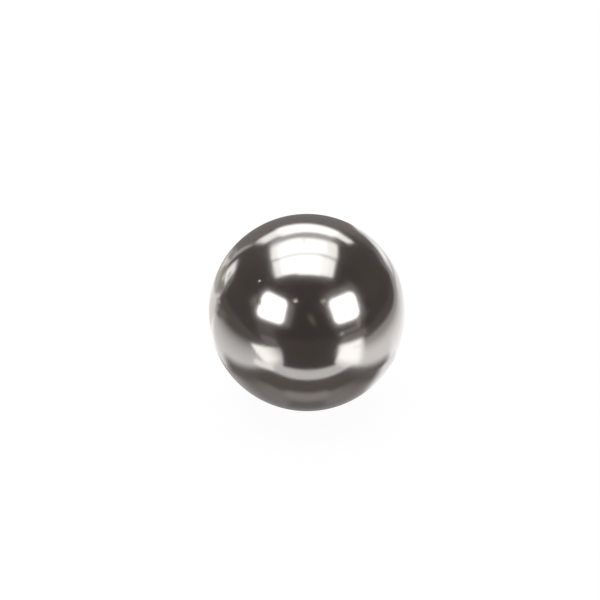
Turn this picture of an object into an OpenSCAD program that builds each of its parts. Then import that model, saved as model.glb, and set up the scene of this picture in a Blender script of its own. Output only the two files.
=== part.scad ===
// Steel ball: one solid, ground and lapped to a true sphere and polished.
// Millimetres, +Z up, with the origin at the centre of the ball.

/* [Ball] */
// Diameter of the ball, the 1/2 inch stock size
ball_d = 12.7; // [3:0.1:50]

/* [Hidden] */

// Steps round the drawn outline; the ball itself is a true sphere
$fn = 180;

// A plain sphere all round, with no flat, hole, seam or mark
module ball() {
    color("dimgray")
        sphere(d = ball_d);
}

ball();
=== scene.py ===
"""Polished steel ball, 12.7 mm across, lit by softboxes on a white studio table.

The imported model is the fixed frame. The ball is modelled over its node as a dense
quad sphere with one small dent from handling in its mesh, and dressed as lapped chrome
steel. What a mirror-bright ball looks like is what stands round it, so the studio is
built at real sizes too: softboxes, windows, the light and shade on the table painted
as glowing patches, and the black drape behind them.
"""

import logging
import math
from dataclasses import dataclass, field
from enum import Enum

import bpy
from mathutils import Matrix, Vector


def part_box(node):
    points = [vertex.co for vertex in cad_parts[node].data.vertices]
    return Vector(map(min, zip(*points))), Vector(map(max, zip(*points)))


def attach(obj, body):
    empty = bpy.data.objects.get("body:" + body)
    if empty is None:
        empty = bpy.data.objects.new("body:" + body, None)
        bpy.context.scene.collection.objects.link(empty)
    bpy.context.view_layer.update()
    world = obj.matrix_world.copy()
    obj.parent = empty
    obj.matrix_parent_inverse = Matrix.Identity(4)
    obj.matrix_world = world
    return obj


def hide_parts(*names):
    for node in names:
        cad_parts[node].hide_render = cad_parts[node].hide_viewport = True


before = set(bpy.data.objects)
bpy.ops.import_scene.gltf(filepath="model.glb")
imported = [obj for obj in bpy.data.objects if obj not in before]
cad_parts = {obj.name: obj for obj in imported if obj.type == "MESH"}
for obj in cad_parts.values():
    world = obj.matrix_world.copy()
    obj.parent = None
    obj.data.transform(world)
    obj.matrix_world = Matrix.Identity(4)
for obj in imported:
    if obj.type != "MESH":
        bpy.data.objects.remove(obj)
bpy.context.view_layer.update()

MM = 0.001
LOG = logging.getLogger("steel_ball")

# Least share of a patch that an edge fades over, so that no fade is of zero width.
LEAST_FADE = 0.001
# Metres from one card to the next where cards hang one in front of the other.
CARD_GAP = 0.001
# Half the side of the table's paper, in mm, and so the end of all that lies on it.
FAR = 320.0
# From crest to crest of a wave texture at scale 1.
WAVE_PERIOD = math.pi / 10

# Azimuth and elevation of the middle of each light, in degrees, as the ball sees them.
LEFT_BOX = (-46.5, 27.5)
RIGHT_BOX = (50.0, 25.0)
BACK_WINDOW = (180.0, 35.0)
SIDE_WINDOW = (-130.0, 5.0)
# Metres from the middle of the ball to the softboxes in front, and to the one overhead.
BOX_DISTANCE = 0.6
CEILING_HEIGHT = 0.5


class Ramp(Enum):
    """How a value climbs between two limits."""

    STRAIGHT = "LINEAR"
    SOFT = "SMOOTHSTEP"


class Ray(Enum):
    """Rays that show a thing, by the light path's own names."""

    CAMERA = "Is Camera Ray"
    GLOSSY = "Is Glossy Ray"
    TRANSMISSION = "Is Transmission Ray"


def linear(colour: str) -> tuple[float, float, float, float]:
    """Turns an sRGB hex colour to linear light.

    Args:
        colour: Six hex digits, with or without a leading #.

    Returns:
        Red, green, blue and alpha, with alpha 1.
    """
    digits = colour.lstrip("#")
    channels = [int(digits[i : i + 2], 16) / 255 for i in (0, 2, 4)]
    light = [c / 12.92 if c <= 0.04045 else ((c + 0.055) / 1.055) ** 2.4 for c in channels]
    return (*light, 1.0)


def add_node(
    tree: bpy.types.NodeTree,
    kind: str,
    settings: dict[str, object] | None = None,
    inputs: dict[str | int, object] | None = None,
) -> bpy.types.Node:
    """Adds one shader node, sets it up and links it.

    Args:
        tree: The node tree that gets the node.
        kind: The node's type, without its ShaderNode prefix.
        settings: Values for the node's own properties, by name.
        inputs: A value, or an output socket to link, for each input, by name or number.

    Returns:
        The new node.
    """
    node = tree.nodes.new("ShaderNode" + kind)
    for name, value in (settings or {}).items():
        setattr(node, name, value)
    for key, value in (inputs or {}).items():
        if isinstance(value, bpy.types.NodeSocket):
            tree.links.new(value, node.inputs[key])
        else:
            node.inputs[key].default_value = value
    return node


def empty_material(name: str) -> tuple[bpy.types.Material, bpy.types.NodeTree]:
    """Makes a node material with no nodes in it.

    Args:
        name: The material's name.

    Returns:
        The material and its node tree.
    """
    material = bpy.data.materials.new(name)
    material.use_nodes = True
    material.node_tree.nodes.clear()
    return material, material.node_tree


def direction(azimuth: float, elevation: float) -> Vector:
    """Gives the way to a point of the studio as seen from the ball.

    Args:
        azimuth: Degrees from the camera's side, positive to the camera's right.
        elevation: Degrees above the table.

    Returns:
        A unit vector in the part's frame.
    """
    turn, rise = math.radians(azimuth), math.radians(elevation)
    return Vector(
        (math.sin(turn) * math.cos(rise), -math.cos(turn) * math.cos(rise), math.sin(rise))
    )


@dataclass(frozen=True)
class Lines:
    """A family of near parallel lines that polishing or handling cut in the steel.

    Args:
        spacing_mm: Distance from line to line.
        turn: Rotation of the family, in radians.
        crest: Height of the wave above which a line is cut.
        rarity: Level of the mask above which a stretch is kept.
        depth_mm: Depth of the lines.
        wander: How far the lines stray from straight.
        ripple: How fine that straying is, as detail and scale of the wave.
        stretch_mm: Length of the stretches that are kept.
        mask_edge: How softly a stretch begins and ends.
    """

    spacing_mm: float
    turn: tuple[float, float, float]
    crest: float
    rarity: float
    depth_mm: float
    wander: float = 1.6
    ripple: tuple[float, float] = (2.0, 0.6)
    stretch_mm: float = 1.25
    mask_edge: float = 0.08

    def height(self, tree: bpy.types.NodeTree, mm: bpy.types.NodeSocket) -> bpy.types.NodeSocket:
        """Draws the lines and keeps scattered stretches of them.

        Args:
            tree: The steel's node tree.
            mm: Place on the ball in millimetres.

        Returns:
            How deep the steel is cut, from 0 to 1.
        """
        turned = add_node(tree, "Mapping", inputs={"Vector": mm, "Rotation": self.turn})
        detail, detail_scale = self.ripple
        wave = add_node(
            tree,
            "TexWave",
            {"wave_type": "BANDS", "bands_direction": "X"},
            {
                "Vector": turned.outputs["Vector"],
                "Scale": WAVE_PERIOD / self.spacing_mm,
                "Distortion": self.wander,
                "Detail": detail,
                "Detail Scale": detail_scale,
            },
        )
        cut = add_node(
            tree,
            "MapRange",
            inputs={"Value": wave.outputs["Fac"], "From Min": self.crest, "From Max": 1.0},
        )
        stretches = add_node(
            tree,
            "TexNoise",
            inputs={
                "Vector": turned.outputs["Vector"],
                "Scale": 1 / self.stretch_mm,
                "Detail": 3.0,
            },
        )
        kept = add_node(
            tree,
            "MapRange",
            {"interpolation_type": Ramp.SOFT.value},
            {
                "Value": stretches.outputs["Fac"],
                "From Min": self.rarity,
                "From Max": self.rarity + self.mask_edge,
            },
        )
        line = add_node(
            tree,
            "Math",
            {"operation": "MULTIPLY"},
            {0: cut.outputs["Result"], 1: kept.outputs["Result"]},
        )
        return line.outputs["Value"]


@dataclass(frozen=True)
class PolishedSteel:
    """Hardened chrome steel, ground, lapped and tumble polished.

    Polishing leaves a mirror a little softer than glass, so that bright shapes keep
    their outline and lose their hard edge. Over it lie fine lapping lines, a few
    short scratches from loose handling, pin-sized pits and a film of oil.

    Args:
        clean: Colour of bare steel.
        oiled: Colour of steel under a little oil.
        roughness: Roughness of bare steel.
        oil_roughness: What the thickest oil adds to it.
        cloud_mm: Size of the clouds in its colour.
        film_mm: Size of the patches of oil.
        film_edge: Levels of the noise at which the oil starts and is thickest.
        film_swirl: How far the oil is smeared.
        lines: Lapping lines all over, then two families of rare scratches.
        pit_mm: Distance from pit to pit.
        pit_shares: Radius of a pit's floor and of its mouth, as shares of that distance.
        pit_depth_mm: Depth of a pit.
    """

    clean: str = "#C9C5C2"
    oiled: str = "#C1BDB9"
    roughness: float = 0.125
    oil_roughness: float = 0.035
    cloud_mm: float = 3.2
    film_mm: float = 2.1
    film_edge: tuple[float, float] = (0.45, 0.7)
    film_swirl: float = 0.8
    # Real lapping lines lie a few thousandths of a millimetre apart, too fine to show, so
    # they are drawn as coarse as they need to be to catch a little light.
    lines: tuple[Lines, ...] = (
        Lines(0.16, (0.3, 0.5, 0.1), crest=0.55, rarity=0.0, depth_mm=0.00012),
        Lines(0.9, (1.1, 0.2, 0.9), crest=0.975, rarity=0.62, depth_mm=0.0013),
        Lines(0.9, (0.4, 1.3, 2.1), crest=0.975, rarity=0.62, depth_mm=0.0013),
    )
    pit_mm: float = 0.75
    pit_shares: tuple[float, float] = (0.03, 0.09)
    pit_depth_mm: float = 0.0024

    def material(self) -> bpy.types.Material:
        """Builds the steel from its nodes.

        Returns:
            The finished material.
        """
        material, tree = empty_material("polished_chrome_steel")
        place = add_node(tree, "TexCoord")
        mm = add_node(
            tree,
            "VectorMath",
            {"operation": "SCALE"},
            {0: place.outputs["Object"], "Scale": 1 / MM},
        ).outputs["Vector"]
        film = self.film(tree, mm)
        clouds = add_node(
            tree, "TexNoise", inputs={"Vector": mm, "Scale": 1 / self.cloud_mm, "Detail": 5.0}
        )
        tone = add_node(
            tree,
            "MixRGB",
            inputs={
                "Color1": linear(self.clean),
                "Color2": linear(self.oiled),
                "Fac": clouds.outputs["Fac"],
            },
        )
        roughness = add_node(
            tree,
            "Math",
            {"operation": "MULTIPLY_ADD"},
            {0: film, 1: self.oil_roughness, 2: self.roughness},
        )
        shader = add_node(
            tree,
            "BsdfPrincipled",
            inputs={
                "Base Color": tone.outputs["Color"],
                "Metallic": 1.0,
                "Roughness": roughness.outputs["Value"],
                "Normal": self.relief(tree, mm),
            },
        )
        add_node(tree, "OutputMaterial", inputs={"Surface": shader.outputs["BSDF"]})
        return material

    def film(self, tree: bpy.types.NodeTree, mm: bpy.types.NodeSocket) -> bpy.types.NodeSocket:
        """Spreads a patchy film of oil.

        Args:
            tree: The steel's node tree.
            mm: Place on the ball in millimetres.

        Returns:
            How thick the film is, from 0 to 1.
        """
        smears = add_node(
            tree,
            "TexNoise",
            inputs={
                "Vector": mm,
                "Scale": 1 / self.film_mm,
                "Detail": 4.0,
                "Distortion": self.film_swirl,
            },
        )
        start, thickest = self.film_edge
        edge = add_node(
            tree,
            "MapRange",
            {"interpolation_type": Ramp.SOFT.value},
            {"Value": smears.outputs["Fac"], "From Min": start, "From Max": thickest},
        )
        return edge.outputs["Result"]

    def relief(self, tree: bpy.types.NodeTree, mm: bpy.types.NodeSocket) -> bpy.types.NodeSocket:
        """Lays lapping lines, scratches and pits over each other as fine relief.

        Args:
            tree: The steel's node tree.
            mm: Place on the ball in millimetres.

        Returns:
            The surface's normal.
        """
        layers = [(family.height(tree, mm), family.depth_mm) for family in self.lines]
        layers.append((self.pits(tree, mm), self.pit_depth_mm))
        normal = None
        for height, depth_mm in layers:
            bump = add_node(
                tree,
                "Bump",
                {"invert": True},
                {"Height": height, "Strength": 1.0, "Distance": depth_mm * MM},
            )
            if normal is not None:
                tree.links.new(normal, bump.inputs["Normal"])
            normal = bump.outputs["Normal"]
        return normal

    def pits(self, tree: bpy.types.NodeTree, mm: bpy.types.NodeSocket) -> bpy.types.NodeSocket:
        """Scatters pin-sized pits.

        Args:
            tree: The steel's node tree.
            mm: Place on the ball in millimetres.

        Returns:
            Depth of the pits, from 0 to 1.
        """
        cells = add_node(tree, "TexVoronoi", inputs={"Vector": mm, "Scale": 1 / self.pit_mm})
        floor, mouth = self.pit_shares
        pit = add_node(
            tree,
            "MapRange",
            {"interpolation_type": Ramp.SOFT.value},
            {"Value": cells.outputs["Distance"], "From Min": mouth, "From Max": floor},
        )
        return pit.outputs["Result"]


@dataclass(frozen=True)
class Nick:
    """A small dent from knocking against another ball.

    Args:
        azimuth: Where it lies, in degrees from the camera's side.
        elevation: Where it lies, in degrees above the table's plane.
        radius_mm: Radius of its mouth.
        depth_mm: How deep it goes.
    """

    azimuth: float
    elevation: float
    radius_mm: float
    depth_mm: float


@dataclass
class SteelBall:
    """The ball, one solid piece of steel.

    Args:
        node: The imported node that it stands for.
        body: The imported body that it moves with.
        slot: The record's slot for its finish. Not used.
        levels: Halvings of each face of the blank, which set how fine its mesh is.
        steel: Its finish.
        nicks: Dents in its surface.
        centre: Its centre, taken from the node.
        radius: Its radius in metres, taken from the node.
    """

    node: str = "ball"
    body: str = "root"
    slot: str = "polished_steel"
    levels: int = 7
    steel: PolishedSteel = PolishedSteel()
    nicks: tuple[Nick, ...] = ()
    centre: Vector = field(init=False)
    radius: float = field(init=False)

    def __post_init__(self) -> None:
        """Takes the ball's size and place from its node."""
        low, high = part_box(self.node)
        self.centre = (low + high) / 2
        self.radius = (high.z - low.z) / 2

    def build(self) -> bpy.types.Object:
        """Makes the ball, dents it, dresses it and puts it in its node's place.

        Returns:
            The finished ball.
        """
        ball = self.blank()
        for nick in self.nicks:
            self.dent(ball, nick)
        bpy.ops.object.shade_smooth()
        ball.data.materials.append(self.steel.material())
        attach(ball, self.body)
        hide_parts(self.node)
        return ball

    def blank(self) -> bpy.types.Object:
        """Rounds a cube into a true sphere of even quads, with no poles.

        Returns:
            The round blank, its place in its mesh.
        """
        bpy.ops.object.select_all(action="DESELECT")
        bpy.ops.mesh.primitive_cube_add(size=2 * self.radius, location=self.centre)
        ball = bpy.context.object
        ball.name = "polished_ball"
        bpy.ops.object.transform_apply(location=True, rotation=True, scale=True)
        rounded = ball.modifiers.new("rounded", "SUBSURF")
        rounded.levels = self.levels
        rounded.render_levels = self.levels
        lapped = ball.modifiers.new("lapped", "CAST")
        lapped.cast_type = "SPHERE"
        lapped.factor = 1.0
        lapped.use_radius_as_size = False
        lapped.size = self.radius
        for modifier in (rounded.name, lapped.name):
            bpy.ops.object.modifier_apply(modifier=modifier)
        return ball

    def dent(self, ball: bpy.types.Object, nick: Nick) -> None:
        """Presses one nick into the ball.

        Args:
            ball: The ball, in object mode.
            nick: Where the dent lies and how big it is.
        """
        outward = direction(nick.azimuth, nick.elevation)
        bpy.ops.object.mode_set(mode="EDIT")
        bpy.ops.mesh.select_all(action="DESELECT")
        bpy.ops.object.mode_set(mode="OBJECT")
        spot = self.centre + outward * self.radius
        nearest = min(ball.data.vertices, key=lambda vertex: (vertex.co - spot).length_squared)
        nearest.select = True
        bpy.ops.object.mode_set(mode="EDIT")
        bpy.ops.transform.translate(
            value=-outward * nick.depth_mm * MM,
            use_proportional_edit=True,
            proportional_edit_falloff="SMOOTH",
            proportional_size=nick.radius_mm * MM,
        )
        bpy.ops.object.mode_set(mode="OBJECT")


@dataclass(frozen=True)
class Patch:
    """A four-cornered patch of light or shade that the ball mirrors.

    Args:
        name: Its name.
        colour: Its colour.
        strength: Its brightness, where 1 shows the colour as it is written.
        corners: Its corners, in order round it and in the units of the sheet it lies on.
        fades_mm: How far in each edge fades, from the edge of the first two corners on.
    """

    name: str
    colour: str
    strength: float
    corners: tuple[tuple[float, float], ...]
    fades_mm: tuple[float, float, float, float]

    def material(self, shares: tuple[float, ...]) -> bpy.types.Material:
        """Builds its material, an emission that turns clear towards rounded edges.

        Args:
            shares: How far in each edge fades, as shares of the patch.

        Returns:
            The finished material.
        """
        material, tree = empty_material(self.name)
        material.cycles.emission_sampling = "NONE"
        place = add_node(tree, "UVMap")
        axes = add_node(tree, "SeparateXYZ", inputs={0: place.outputs["UV"]})
        first, second, third, fourth = (max(share, LEAST_FADE) for share in shares)
        near_side = self.edge_nearness(tree, axes.outputs["X"], fourth, second)
        near_end = self.edge_nearness(tree, axes.outputs["Y"], first, third)
        corner = add_node(tree, "CombineXYZ", inputs={"X": near_side, "Y": near_end})
        reach = add_node(
            tree, "VectorMath", {"operation": "LENGTH"}, {0: corner.outputs["Vector"]}
        )
        mask = add_node(
            tree,
            "MapRange",
            {"interpolation_type": Ramp.SOFT.value},
            {"Value": reach.outputs["Value"], "From Min": 1.0, "From Max": 0.0},
        )
        clear = add_node(tree, "BsdfTransparent")
        glow = add_node(
            tree, "Emission", inputs={"Color": linear(self.colour), "Strength": self.strength}
        )
        mixed = add_node(
            tree,
            "MixShader",
            inputs={
                "Fac": mask.outputs["Result"],
                1: clear.outputs["BSDF"],
                2: glow.outputs["Emission"],
            },
        )
        add_node(tree, "OutputMaterial", inputs={"Surface": mixed.outputs["Shader"]})
        return material

    def edge_nearness(
        self, tree: bpy.types.NodeTree, along: bpy.types.NodeSocket, low: float, high: float
    ) -> bpy.types.NodeSocket:
        """Measures how near a point is to the closer of two opposite edges.

        Args:
            tree: The patch's node tree.
            along: Place from one edge, 0, to the other, 1.
            low: How far in the first edge fades.
            high: How far in the second edge fades.

        Returns:
            1 on either edge and 0 where its fade ends.
        """
        fades = [
            add_node(
                tree,
                "MapRange",
                {"interpolation_type": Ramp.STRAIGHT.value},
                {"Value": along, "From Min": inside, "From Max": edge},
            )
            for inside, edge in ((low, 0.0), (1.0 - high, 1.0))
        ]
        first, second = (fade.outputs["Result"] for fade in fades)
        nearest = add_node(tree, "Math", {"operation": "MAXIMUM"}, {0: first, 1: second})
        return nearest.outputs["Value"]


@dataclass(frozen=True)
class Sheet:
    """A flat sheet of the studio on which patches lie.

    Args:
        origin: Where its own zero lies, in the part's frame.
        across: Its first axis, one of its own units long.
        along: Its second axis, one of its own units long.
        cuts: Squares along each side of a patch's mesh.
    """

    origin: Vector
    across: Vector
    along: Vector
    cuts: int = 8

    def lay(self, patch: Patch) -> bpy.types.Object:
        """Lays a patch, a grid whose corners are drawn to their places.

        Args:
            patch: What to lay.

        Returns:
            The patch's card, which shows in mirrors and nowhere else.
        """
        bpy.ops.object.select_all(action="DESELECT")
        bpy.ops.mesh.primitive_grid_add(x_subdivisions=self.cuts, y_subdivisions=self.cuts, size=1)
        card = bpy.context.object
        card.name = patch.name
        first, second, third, fourth = (
            self.origin + self.across * x + self.along * y for x, y in patch.corners
        )
        for vertex in card.data.vertices:
            # The grid is 1 wide round its middle, so these are shares of its two sides.
            u, v = vertex.co.x + 0.5, vertex.co.y + 0.5
            vertex.co = first.lerp(second, u).lerp(fourth.lerp(third, u), v)
        width = ((second - first).length + (third - fourth).length) / 2
        height = ((fourth - first).length + (third - second).length) / 2
        sides = (height, width, height, width)
        shares = tuple(fade * MM / side for fade, side in zip(patch.fades_mm, sides))
        card.data.materials.append(patch.material(shares))
        only_in_mirrors(card)
        return card


def only_in_mirrors(thing: bpy.types.Object) -> None:
    """Keeps a studio thing out of the camera's view and its shadow off the table.

    Args:
        thing: The card or drape to hide.
    """
    thing.visible_camera = False
    thing.visible_diffuse = False
    thing.visible_shadow = False
    thing.visible_volume_scatter = False


def seen_or_mirrored(tree: bpy.types.NodeTree) -> bpy.types.NodeSocket:
    """Tells rays that show a thing, straight or in a mirror or glass, from those that only light.

    Args:
        tree: The node tree that gets the test.

    Returns:
        1 for a ray that shows the thing, and 0 for any other.
    """
    path = add_node(tree, "LightPath")
    seen = path.outputs[Ray.CAMERA.value]
    for ray in (Ray.GLOSSY, Ray.TRANSMISSION):
        seen = add_node(
            tree, "Math", {"operation": "MAXIMUM"}, {0: seen, 1: path.outputs[ray.value]}
        ).outputs["Value"]
    return seen


@dataclass(frozen=True)
class Table:
    """The white paper under the ball, and the shade and light on it that the ball mirrors.

    Args:
        foot: Where the ball touches the paper.
        half_mm: Half the side of the paper.
        sheet_mm: Height from one layer of patches to the next.
        white: Share of the paper's white that no shadow takes away.
        shaded: Share of it that a shadow can take away.
        bounce: The paper's colour to matt things.
        patches: Light and shade painted on the paper, from the lowest up, in mm right
        and away of the foot.
    """

    foot: Vector
    half_mm: float = FAR
    sheet_mm: float = 0.02
    white: float = 0.94
    shaded: float = 0.10
    bounce: str = "#E8E8E8"
    patches: tuple[Patch, ...] = (
        # On the left: the windows' light through haze, and what spills close in
        Patch("haze_left", "#A6A29E", 1.0,
              ((-FAR, 175), (-22, 19), (4, 20), (-190, FAR)), (6, 6, 4, 0)),
        Patch("haze_near", "#CECAC5", 1.0,
              ((-8, 20), (-32, 20), (-44, 46), (-18, 50)), (3, 8, 10, 4)),
        Patch("haze_ridge", "#F0ECE8", 1.0,
              ((-9, 25), (-20, 29), (-206, 262), (-184, 262)), (6, 5, 30, 4)),
        Patch("haze_gleam", "#F4F0EE", 1.0,
              ((-46, 50), (-60, 50), (-235, 190), (-190, 215)), (30, 15, 0, 15)),
        Patch("spill_left", "#FFFDFA", 1.46,
              ((-8, 1), (-22.6, 10), (-28.4, 20.4), (-8, 20)), (5, 5, 6, 0)),
        Patch("streak_left", "#FFFBF7", 1.0,
              ((-8, 5), (-47.5, 19.4), (-40, 27), (-8, 21)), (2, 9, 8, 3)),
        # On the right: what spills close in, a beam of the same light, and dusk past it
        Patch("spill_right", "#FFFFFF", 1.28,
              ((6.6, -1.6), (20, -0.4), (24.4, 21), (8, 22)), (3, 11, 8, 0)),
        Patch("beam_gap", "#CCC8C4", 1.0,
              ((14, 29), (36, 29), (38, 41), (16, 41)), (4, 4, 4, 4)),
        Patch("beam_shade", "#B8B4B0", 1.0,
              ((6, 72), (28, 72), (64, 150), (40, 150)), (22, 6, 20, 6)),
        Patch("beam_back", "#FFFFFF", 1.12,
              ((16, 42), (37, 49), (96, 150), (77, 150)), (7, 9, 20, 8)),
        Patch("beam_root", "#FFFFFF", 1.6,
              ((15, 42), (36, 49), (50, 76), (30, 76)), (7, 9, 18, 8)),
        Patch("dusk_back", "#A09C9A", 1.0,
              ((-FAR, 200), (FAR, 90), (FAR, FAR), (-FAR, FAR)), (110, 0, 0, 0)),
        # Painted shade round the lit middle, where its light falls off, and what light strays on it
        Patch("shade_left", "#66625F", 1.0,
              ((-FAR, -FAR), (122, -FAR), (-7.4, 6.2), (-FAR, 196)), (0, 50, 7.5, 0)),
        Patch("half_shade_tongue", "#7E7A77", 1.0,
              ((-58, -3), (-19.5, 6.2), (-21.5, 11.5), (-54, 19)), (8, 6, 4, 12)),
        Patch("streak_far", "#C8C4C0", 1.0,
              ((-27, 14), (-50, 19.5), (-45, 27), (-27, 20)), (3, 6, 3, 4)),
        Patch("haze_fold", "#B4B0AC", 1.0,
              ((-33, 22.5), (-95, 50), (-98, 64), (-35, 31)), (4, 10, 5, 4)),
        Patch("dusk_right", "#B2AEAC", 1.0,
              ((-106, -FAR), (FAR, -FAR), (FAR, 470), (27.4, 33)), (0, 0, 26, 44)),
        Patch("shade_right", "#605C5A", 1.0,
              ((-9, -FAR), (FAR, -FAR), (FAR, 395), (41, 24)), (0, 0, 28, 17)),
        Patch("shade_low_right", "#605C5A", 1.0,
              ((21, -16.5), (67, 20.5), (FAR, 60), (FAR, -FAR)), (10, 0, 0, 10)),
        Patch("shade_front", "#544E4C", 1.0,
              ((-FAR, -FAR), (FAR, -FAR), (FAR, -26), (-FAR, -26)), (0, 0, 22, 0)),
        Patch("shade_back", "#84807D", 1.0,
              ((-5, 18), (1, 18), (108, FAR), (-190, FAR)), (3, 12, 0, 12)),
        # Painted sheen in front, where the shaded table takes the softboxes' light
        Patch("sheen_left", "#84807E", 1.0,
              ((-27, -25), (-16, -36), (-90, -135), (-135, -90)), (8, 9, 40, 9)),
        Patch("sheen_right", "#8A8684", 1.0,
              ((40, -14), (24, -39), (110, -150), (196, -74)), (8, 9, 40, 12)),
        # The painted pools of light from the two softboxes in front, and the painted shade between
        # them
        Patch("band_shade", "#E8E9E9", 1.0,
              ((-7.2, -9.6), (-6.0, -14), (6.6, -14), (7.6, -9.6)), (1, 1, 1, 1)),
        Patch("shade_wedge", "#544E4C", 1.0,
              ((-5.4, -12.5), (7.4, -12.5), (209, -FAR), (-205, -FAR)), (1.5, 12, 0, 12)),
        Patch("pool_left_skirt", "#E4E2E0", 1.0,
              ((-12, -10.5), (-6.0, -10.0), (-5.4, -15), (-10, -22)), (1.5, 1.2, 1.5, 2)),
        Patch("pool_left", "#FFFFFF", 1.76,
              ((-24.4, -13.5), (-5.9, -10.3), (-5.2, -15), (-17.0, -37.6)), (1.2, 5, 12, 4.8)),
        Patch("pool_right_skirt", "#FFFFFF", 1.10,
              ((6.0, -9.6), (6.2, -14.3), (10.4, -19.6), (14, -13)), (1.6, 1.4, 2, 3)),
        Patch("pool_right", "#FFFFFF", 1.80,
              ((6.0, -5.2), (6.7, -14.7), (23.6, -41.4), (46.0, -22.5)), (5.8, 4.6, 16, 5.0)),
        Patch("pool_fold", "#FFFFFF", 1.25,
              ((17.7, -12), (18.3, -19), (20.1, -19), (20.5, -12)), (1, 0.8, 1, 0.8)),
        # Close in: a dark square under the ball, with painted sheen and shade on it, and painted
        # light round its foot
        Patch("dark_square", "#7A7473", 1.0,
              ((-11.9, 1.4), (-8.7, -10.4), (9.1, -10.2), (12.2, 1.0)), (2.8, 1.3, 2.9, 3)),
        Patch("dark_square_core", "#6A6462", 1.0,
              ((-7.9, 1.4), (-7.2, -9.9), (7.0, -9.9), (7.9, 1.0)), (1.8, 0.8, 1.8, 3)),
        Patch("dark_square_back", "#686260", 1.0,
              ((-5.2, 10.5), (-5.2, 0), (5.2, 0), (5.2, 10.5)), (2, 2, 2, 2)),
        Patch("pool_tip", "#FFFFFF", 1.36,
              ((-12.1, -9.4), (-9.3, -7.1), (-4.7, -9.9), (-7.0, -12.5)), (1.2, 1.1, 1.1, 1.1)),
        Patch("foot_sheen", "#8B8685", 1.0,
              ((-9, 1), (-6.4, -6.6), (6.0, -6.6), (9, 1)), (3, 1.4, 3, 2)),
        Patch("foot_glow", "#928D8B", 1.0,
              ((-5.3, -3.6), (-5.0, -6.7), (4.5, -6.7), (4.7, -3.6)), (1.6, 0.9, 1.6, 1.0)),
        Patch("foot_spot", "#A29D9B", 1.0,
              ((-2.8, -5.1), (-2.8, -7.2), (2.8, -7.2), (2.8, -5.1)), (1.2, 1.0, 1.2, 0.8)),
        Patch("foot_notch", "#7A7574", 1.0,
              ((-1.9, -3.6), (-1.9, -5.4), (1.9, -5.4), (1.9, -3.6)), (0.9, 0.6, 0.9, 0.6)),
        Patch("foot_left", "#B8B3B2", 1.0,
              ((-8.8, 3.5), (-6.5, -4.3), (6.2, -4.4), (8.7, 3.5)), (1.8, 3.6, 1.8, 2.5)),
        Patch("foot_right", "#FFFFFF", 1.05,
              ((3.2, 2.5), (3.6, -3.0), (7.8, -3.0), (9.8, 2.5)), (1.6, 2.4, 0.8, 1)),
    )

    def build(self) -> None:
        """Lays the paper and everything on it."""
        bpy.ops.object.select_all(action="DESELECT")
        bpy.ops.mesh.primitive_plane_add(size=2 * self.half_mm * MM, location=self.foot)
        paper = bpy.context.object
        paper.name = "white_paper"
        paper.data.materials.append(self.paper())
        across, along = Vector((MM, 0, 0)), Vector((0, MM, 0))
        for layer, patch in enumerate(self.patches, start=1):
            height = Vector((0, 0, layer * self.sheet_mm * MM))
            Sheet(self.foot + height, across, along).lay(patch)

    def paper(self) -> bpy.types.Material:
        """Builds matt paper that shows white, keeps the ball's shadow and is clear from below.

        Returns:
            The finished material.
        """
        material, tree = empty_material("white_table_paper")
        material.cycles.emission_sampling = "NONE"
        grey = (self.shaded, self.shaded, self.shaded, 1.0)
        shadow = add_node(tree, "BsdfDiffuse", inputs={"Color": grey})
        white = add_node(tree, "Emission", inputs={"Strength": self.white})
        shown = add_node(
            tree, "AddShader", inputs={0: shadow.outputs["BSDF"], 1: white.outputs["Emission"]}
        )
        bounce = add_node(tree, "BsdfDiffuse", inputs={"Color": linear(self.bounce)})
        front = add_node(
            tree,
            "MixShader",
            inputs={
                "Fac": seen_or_mirrored(tree),
                1: bounce.outputs["BSDF"],
                2: shown.outputs["Shader"],
            },
        )
        clear = add_node(tree, "BsdfTransparent")
        side = add_node(tree, "NewGeometry")
        both = add_node(
            tree,
            "MixShader",
            inputs={
                "Fac": side.outputs["Backfacing"],
                1: front.outputs["Shader"],
                2: clear.outputs["BSDF"],
            },
        )
        add_node(tree, "OutputMaterial", inputs={"Surface": both.outputs["Shader"]})
        return material


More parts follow.
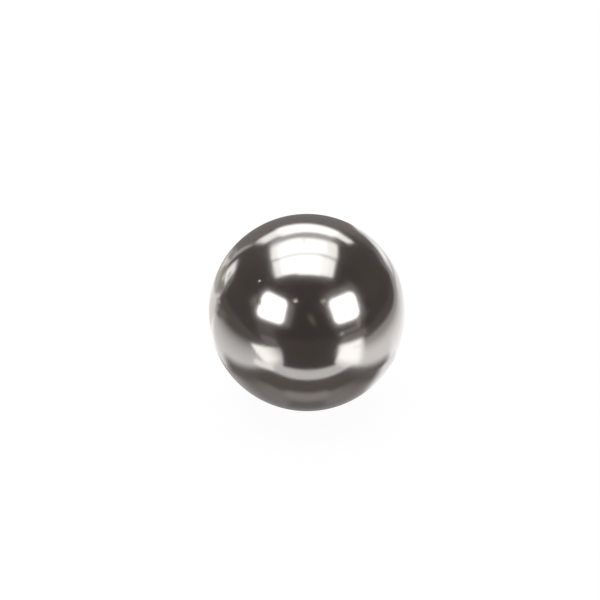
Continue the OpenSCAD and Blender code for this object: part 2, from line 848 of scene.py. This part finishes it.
@dataclass(frozen=True)
class Lights:
    """The faces of the softboxes, small lamps and windows that stand round the ball.

    Args:
        centre: Centre of the ball.
        distance: How far off they stand, in metres.
        walls: Azimuth and elevation of each face's aim point, and the face, whose corners
            are right and up of that point as shares of the distance.
    """

    centre: Vector
    distance: float = BOX_DISTANCE
    walls: tuple[tuple[tuple[float, float], Patch], ...] = (
        # The two softboxes in front, each in the glow round its cloth
        (LEFT_BOX, Patch(
            "front_left_glow", "#7C7875", 1.0,
            ((-0.60, -0.35), (0.45, -0.35), (0.45, 0.30), (-0.52, 0.32)), (70, 80, 60, 90))),
        (LEFT_BOX, Patch(
            "left_box_halo", "#86827F", 1.0,
            ((0.24, -0.18), (0.62, -0.16), (0.57, 0.09), (0.24, 0.12)), (50, 60, 60, 1))),
        (RIGHT_BOX, Patch(
            "front_right_glow", "#7C7875", 1.0,
            ((-0.52, -0.42), (0.44, -0.38), (0.44, 0.53), (-0.52, 0.47)), (90, 90, 90, 90))),
        (LEFT_BOX, Patch(
            "front_left_box", "#FFFFFF", 6.0,
            ((-0.376, -0.272), (0.336, -0.308), (0.332, 0.27), (-0.278, 0.284)), (90, 90, 90, 80))),
        # Painted shade across the right edge of the left box
        (LEFT_BOX, Patch(
            "left_box_shade", "#5A5654", 1.0,
            ((0.215, -0.085), (0.42, -0.085), (0.42, 0.045), (0.215, 0.045)), (25, 1, 25, 32))),
        (RIGHT_BOX, Patch(
            "front_right_box", "#FFFFFF", 6.0,
            ((-0.278, -0.296), (0.34, -0.254), (0.318, 0.34), (-0.38, 0.252)), (90, 90, 90, 90))),
        # Painted glow lower down, under them
        ((48.0, 0.0), Patch(
            "under_right_box", "#8A888A", 1.0,
            ((-0.34, -0.18), (0.31, -0.18), (0.30, 0.10), (-0.33, 0.14)), (50, 50, 60, 70))),
        ((60.0, 5.0), Patch(
            "right_box_foot", "#B4A6A0", 1.0,
            ((-0.09, -0.07), (0.07, -0.07), (0.07, 0.10), (-0.09, 0.10)), (40, 40, 40, 40))),
        ((-50.0, 2.0), Patch(
            "under_left_box", "#6A6663", 1.0,
            ((-0.36, -0.18), (0.22, -0.16), (0.22, 0.18), (-0.30, 0.16)), (60, 60, 60, 80))),
        # Two small lamps and a faint olive streak of light between them
        ((-17.6, 42.4), Patch(
            "small_lamp_left", "#FFF6E8", 12.0,
            ((-0.016, -0.013), (0.013, -0.016), (0.016, 0.013), (-0.013, 0.016)), (6, 6, 6, 6))),
        ((23.8, 40.8), Patch(
            "small_lamp_right", "#FFF6E8", 8.0,
            ((-0.017, -0.014), (0.014, -0.017), (0.017, 0.014), (-0.014, 0.017)), (6, 6, 6, 6))),
        ((9.0, 22.0), Patch(
            "faint_streak", "#888B72", 1.0,
            ((-0.035, -0.125), (0.04, -0.125), (0.15, 0.13), (0.07, 0.13)), (20, 16, 20, 16))),
        # The window behind the ball and the wall under it
        (BACK_WINDOW, Patch(
            "back_window", "#FFFFFF", 1.55,
            ((-0.67, -0.27), (0.635, -0.085), (0.60, 0.16), (-0.625, 0.14)), (60, 36, 40, 60))),
        (BACK_WINDOW, Patch(
            "back_window_middle", "#FFFFFF", 2.1,
            ((-0.36, -0.32), (0.44, -0.16), (0.40, 0.195), (-0.39, 0.195)), (95, 70, 45, 70))),
        ((180.0, 6.0), Patch(
            "back_wall", "#84807D", 1.0,
            ((-0.9, -0.22), (0.78, -0.22), (0.78, 0.36), (-0.8, 0.36)), (0, 300, 120, 180))),
        # The window to the left, behind, and its curtain
        (SIDE_WINDOW, Patch(
            "side_window", "#FFFFFF", 1.42,
            ((-0.175, -0.25), (0.2, -0.305), (0.136, 0.155), (-0.155, 0.195)), (50, 50, 60, 70))),
        (SIDE_WINDOW, Patch(
            "side_mullion", "#FFFFFF", 0.6,
            ((-0.075, -0.05), (0.005, -0.05), (0.005, 0.045), (-0.065, 0.045)), (14, 14, 14, 14))),
        ((-119.0, 2.0), Patch(
            "side_curtain", "#8C8886", 1.0,
            ((-0.07, -0.20), (0.07, -0.20), (0.06, 0.26), (-0.06, 0.22)), (20, 30, 50, 30))),
        # A screen, a dark corner of the room and a gap in the curtain
        ((39.0, 0.6), Patch(
            "small_screen", "#D8D8E2", 1.9,
            ((-0.020, -0.036), (0.020, -0.036), (0.020, 0.036), (-0.020, 0.036)), (8, 8, 8, 8))),
        ((143.0, 3.0), Patch(
            "far_corner", "#8C8886", 1.0,
            ((-0.20, -0.08), (0.20, -0.08), (0.17, 0.11), (-0.17, 0.11)), (0, 60, 60, 60))),
        ((-145.0, 10.0), Patch(
            "side_curtain_gap", "#CCC8C6", 1.0,
            ((-0.07, -0.24), (0.10, -0.24), (0.01, 0.24), (-0.02, 0.24)), (20, 14, 60, 14))),
    )

    def build(self) -> None:
        """Stands every face square to the ball."""
        for layer, (towards, patch) in enumerate(self.walls):
            reach = self.distance - layer * CARD_GAP
            aim = direction(*towards)
            right = aim.cross(Vector((0, 0, 1))).normalized()
            up = right.cross(aim)
            Sheet(self.centre + aim * reach, right * reach, up * reach).lay(patch)


@dataclass(frozen=True)
class CeilingBox:
    """The wide softbox overhead, whose cloth is sewn from strips.

    Args:
        centre: Centre of the ball.
        height: Height of the cloth above it, in metres.
        strips: Its strips from the highest down, in shares of the height right and away
            of the ball.
    """

    centre: Vector
    height: float = CEILING_HEIGHT
    strips: tuple[Patch, ...] = (
        # The glow round the box and the gap behind it
        Patch("ceiling_glow", "#6C6866", 1.0,
              ((-0.84, -0.46), (0.62, -0.54), (0.64, 0.80), (-0.88, 0.86)), (90, 40, 50, 60)),
        Patch("ceiling_gap", "#C8C6C6", 1.0,
              ((-0.77, 0.66), (0.68, 0.66), (0.80, 1.06), (-0.84, 1.06)), (20, 220, 40, 90)),
        # The cloth, sewn from a near and a far strip
        Patch("near_strip", "#FFFFFF", 2.1,
              ((-0.67, -0.245), (0.524, -0.293), (0.528, 0.20), (-0.675, 0.20)), (15, 15, 15, 15)),
        Patch("near_sag", "#FFFFFF", 2.1,
              ((-0.24, -0.292), (0.34, -0.309), (0.34, -0.20), (-0.24, -0.20)), (15, 60, 15, 60)),
        Patch("far_strip", "#FFFFFF", 2.0,
              ((-0.69, 0.19), (0.548, 0.19), (0.553, 0.755), (-0.69, 0.815)), (15, 15, 75, 15)),
        Patch("far_bulge", "#FFFFFF", 2.0,
              ((-0.46, 0.60), (-0.04, 0.60), (-0.04, 0.80), (-0.46, 0.80)), (60, 40, 75, 60)),
        # Its ends, which are dimmer
        Patch("near_left_end", "#FFFFFF", 1.6,
              ((-0.686, -0.246), (-0.48, -0.262), (-0.48, 0.2), (-0.678, 0.2)), (15, 15, 15, 15)),
        Patch("near_right_end", "#FFFFFF", 1.72,
              ((0.24, -0.296), (0.528, -0.292), (0.528, 0.20), (0.24, 0.20)), (15, 15, 15, 15)),
        Patch("near_right_hem", "#FFFFFF", 1.6,
              ((0.40, -0.294), (0.528, -0.290), (0.528, 0.20), (0.40, 0.20)), (15, 15, 15, 15)),
        Patch("far_left_end", "#FFFFFF", 1.65,
              ((-0.68, 0.20), (-0.50, 0.20), (-0.50, 0.78), (-0.69, 0.79)), (15, 15, 80, 15)),
        Patch("far_right_end", "#FFFFFF", 1.58,
              ((0.32, 0.24), (0.55, 0.24), (0.55, 0.76), (0.32, 0.77)), (15, 15, 80, 15)),
        # Its seams, and a tape that hangs from it
        Patch("seam_right", "#FFFFFF", 0.74,
              ((0.14, 0.17), (0.53, 0.12), (0.55, 0.242), (0.14, 0.235)), (15, 12, 15, 60)),
        Patch("seam_left", "#FFFFFF", 0.80,
              ((-0.69, 0.20), (-0.46, 0.165), (-0.46, 0.225), (-0.69, 0.29)), (12, 40, 12, 12)),
        Patch("hanging_tape", "#FFFFFF", 1.2,
              ((-0.058, 0.47), (-0.030, 0.47), (-0.030, 0.74), (-0.058, 0.74)), (6, 6, 6, 6)),
    )

    def build(self) -> None:
        """Hangs the strips, each a little under the last."""
        across, along = Vector((self.height, 0, 0)), Vector((0, self.height, 0))
        for layer, strip in enumerate(self.strips):
            drop = Vector((0, 0, self.height - layer * CARD_GAP))
            Sheet(self.centre + drop, across, along).lay(strip)


@dataclass(frozen=True)
class Drape:
    """The black drape all round, which is what the dark of the ball mirrors.

    Args:
        near: Colour of the drape on the camera's side.
        away: Colour of it on the far side, which gets more of the windows' light.
        radius: How far off it hangs, in metres.
        fold: Size of its folds, in metres.
        turn: How fast it goes from one colour to the other, per metre.
    """

    near: str = "#484240"
    away: str = "#5C5654"
    radius: float = 1.0
    fold: float = 0.5
    turn: float = 0.6

    def build(self) -> bpy.types.Object:
        """Hangs the drape.

        Returns:
            The drape, a wide ball round the studio.
        """
        bpy.ops.object.select_all(action="DESELECT")
        bpy.ops.mesh.primitive_uv_sphere_add(segments=48, ring_count=24, radius=self.radius)
        drape = bpy.context.object
        drape.name = "black_drape"
        drape.data.materials.append(self.cloth())
        only_in_mirrors(drape)
        return drape

    def cloth(self) -> bpy.types.Material:
        """Builds black cloth that fades from its near to its far tone in soft folds.

        Returns:
            The finished material.
        """
        material, tree = empty_material("black_drape_cloth")
        material.cycles.emission_sampling = "NONE"
        place = add_node(tree, "TexCoord").outputs["Object"]
        folds = add_node(
            tree, "TexNoise", inputs={"Vector": place, "Scale": 1 / self.fold, "Detail": 3.0}
        )
        axes = add_node(tree, "SeparateXYZ", inputs={0: place})
        depth = add_node(
            tree,
            "Math",
            {"operation": "MULTIPLY_ADD"},
            {0: axes.outputs["Y"], 1: self.turn, 2: folds.outputs["Fac"]},
        )
        tone = add_node(
            tree,
            "MixRGB",
            inputs={
                "Color1": linear(self.near),
                "Color2": linear(self.away),
                "Fac": depth.outputs["Value"],
            },
        )
        glow = add_node(tree, "Emission", inputs={"Color": tone.outputs["Color"]})
        add_node(tree, "OutputMaterial", inputs={"Surface": glow.outputs["Emission"]})
        return material


@dataclass(frozen=True)
class Lamp:
    """A soft lamp that lights matt things and shows in no mirror.

    Args:
        name: Its name.
        place: Where it hangs from the centre of the ball, in metres.
        size: Its width and height, in metres.
        radiance: How bright its face is, where 1 is white.
    """

    name: str
    place: Vector
    size: tuple[float, float]
    radiance: float = 1.0

    def hang(self, centre: Vector) -> bpy.types.Object:
        """Hangs the lamp, turned to the ball.

        Args:
            centre: Centre of the ball.

        Returns:
            The lamp.
        """
        bpy.ops.object.light_add(type="AREA", location=centre + self.place)
        lamp = bpy.context.object
        lamp.name = self.name
        lamp.rotation_mode = "QUATERNION"
        lamp.rotation_quaternion = (-self.place).to_track_quat("-Z", "Y")
        lamp.data.shape = "RECTANGLE"
        lamp.data.size, lamp.data.size_y = self.size
        lamp.data.energy = self.radiance * math.pi * self.size[0] * self.size[1]
        lamp.visible_glossy = False
        return lamp


@dataclass(frozen=True)
class Studio:
    """Everything round the ball: table, lights, drape, world and lamps.

    Args:
        centre: Centre of the ball.
        radius: Radius of the ball, in metres.
        matt_light: Strength of the world for rays that only light.
        lamps: What lights matt things, one lamp for each softbox.
    """

    centre: Vector
    radius: float
    matt_light: float = 0.4
    lamps: tuple[Lamp, ...] = (
        Lamp("front_left_lamp", direction(*LEFT_BOX) * BOX_DISTANCE, size=(0.36, 0.29)),
        Lamp("front_right_lamp", direction(*RIGHT_BOX) * BOX_DISTANCE, size=(0.36, 0.29)),
        Lamp("top_lamp", Vector((-0.04, 0.13, CEILING_HEIGHT)), size=(0.62, 0.54)),
    )

    def build(self) -> None:
        """Builds the studio from the table up."""
        Table(self.centre - Vector((0, 0, self.radius))).build()
        Lights(self.centre).build()
        CeilingBox(self.centre).build()
        Drape().build()
        self.set_world()
        for lamp in self.lamps:
            lamp.hang(self.centre)

    def set_world(self) -> None:
        """Sets a white world behind everything and a softer one for matt things."""
        world = bpy.data.worlds.new("white_studio")
        world.use_nodes = True
        tree = world.node_tree
        tree.nodes.clear()
        strength = add_node(
            tree,
            "MapRange",
            inputs={"Value": seen_or_mirrored(tree), "To Min": self.matt_light, "To Max": 1.0},
        )
        light = add_node(
            tree,
            "Background",
            inputs={"Color": linear("#FFFFFF"), "Strength": strength.outputs["Result"]},
        )
        add_node(tree, "OutputWorld", inputs={"Surface": light.outputs["Background"]})
        bpy.context.scene.world = world


@dataclass(frozen=True)
class Camera:
    """The camera, which looks down on the ball.

    Args:
        subject: Centre of the ball.
        radius: Radius of the ball, in metres.
        elevation: Degrees that it stands above the ball's level.
        lens: Focal length, in mm.
        sensor: Width of the sensor, in mm.
        frame_px: Side of the square frame, in pixels.
        ball_radius_px: Radius of the ball in the frame.
        ball_centre_px: Centre of the ball in the frame, right and down.
        sight: How far the camera sees, in metres.
    """

    subject: Vector
    radius: float
    elevation: float = 30.0
    lens: float = 100.0
    sensor: float = 36.0
    frame_px: float = 600.0
    ball_radius_px: float = 98.7
    ball_centre_px: tuple[float, float] = (307.0, 312.5)
    sight: float = 10.0

    def build(self) -> bpy.types.Object:
        """Sets up the camera at the distance where the ball has its size in the frame.

        Returns:
            The scene's camera.
        """
        focal_px = self.frame_px * self.lens / self.sensor
        distance = self.radius / math.sin(math.atan(self.ball_radius_px / focal_px))
        metre_per_px = distance / focal_px
        back = direction(0.0, self.elevation)
        turn = (-back).to_track_quat("-Z", "Y")
        middle = self.frame_px / 2
        right = (middle - self.ball_centre_px[0]) * metre_per_px
        up = (self.ball_centre_px[1] - middle) * metre_per_px
        bpy.ops.object.camera_add()
        camera = bpy.context.object
        camera.name = "studio_camera"
        camera.data.lens = self.lens
        camera.data.sensor_width = self.sensor
        camera.data.clip_start = self.radius
        camera.data.clip_end = self.sight
        camera.rotation_mode = "QUATERNION"
        camera.rotation_quaternion = turn
        camera.location = self.subject + back * distance + turn @ Vector((right, up, 0))
        bpy.context.scene.camera = camera
        return camera


def main() -> None:
    """Builds the ball, the studio and the camera, in that order."""
    logging.basicConfig(level=logging.INFO, format="%(name)s: %(message)s")
    nick = Nick(azimuth=-38.1, elevation=42.3, radius_mm=0.29, depth_mm=0.036)
    maker = SteelBall(nicks=(nick,))
    ball = maker.build()
    LOG.info("ball: %d faces, %.2f mm across", len(ball.data.polygons), 2 * maker.radius / MM)
    bpy.context.scene.view_settings.view_transform = "Standard"
    Studio(maker.centre, maker.radius).build()
    Camera(maker.centre, maker.radius).build()


if __name__ == "__main__":
    main()
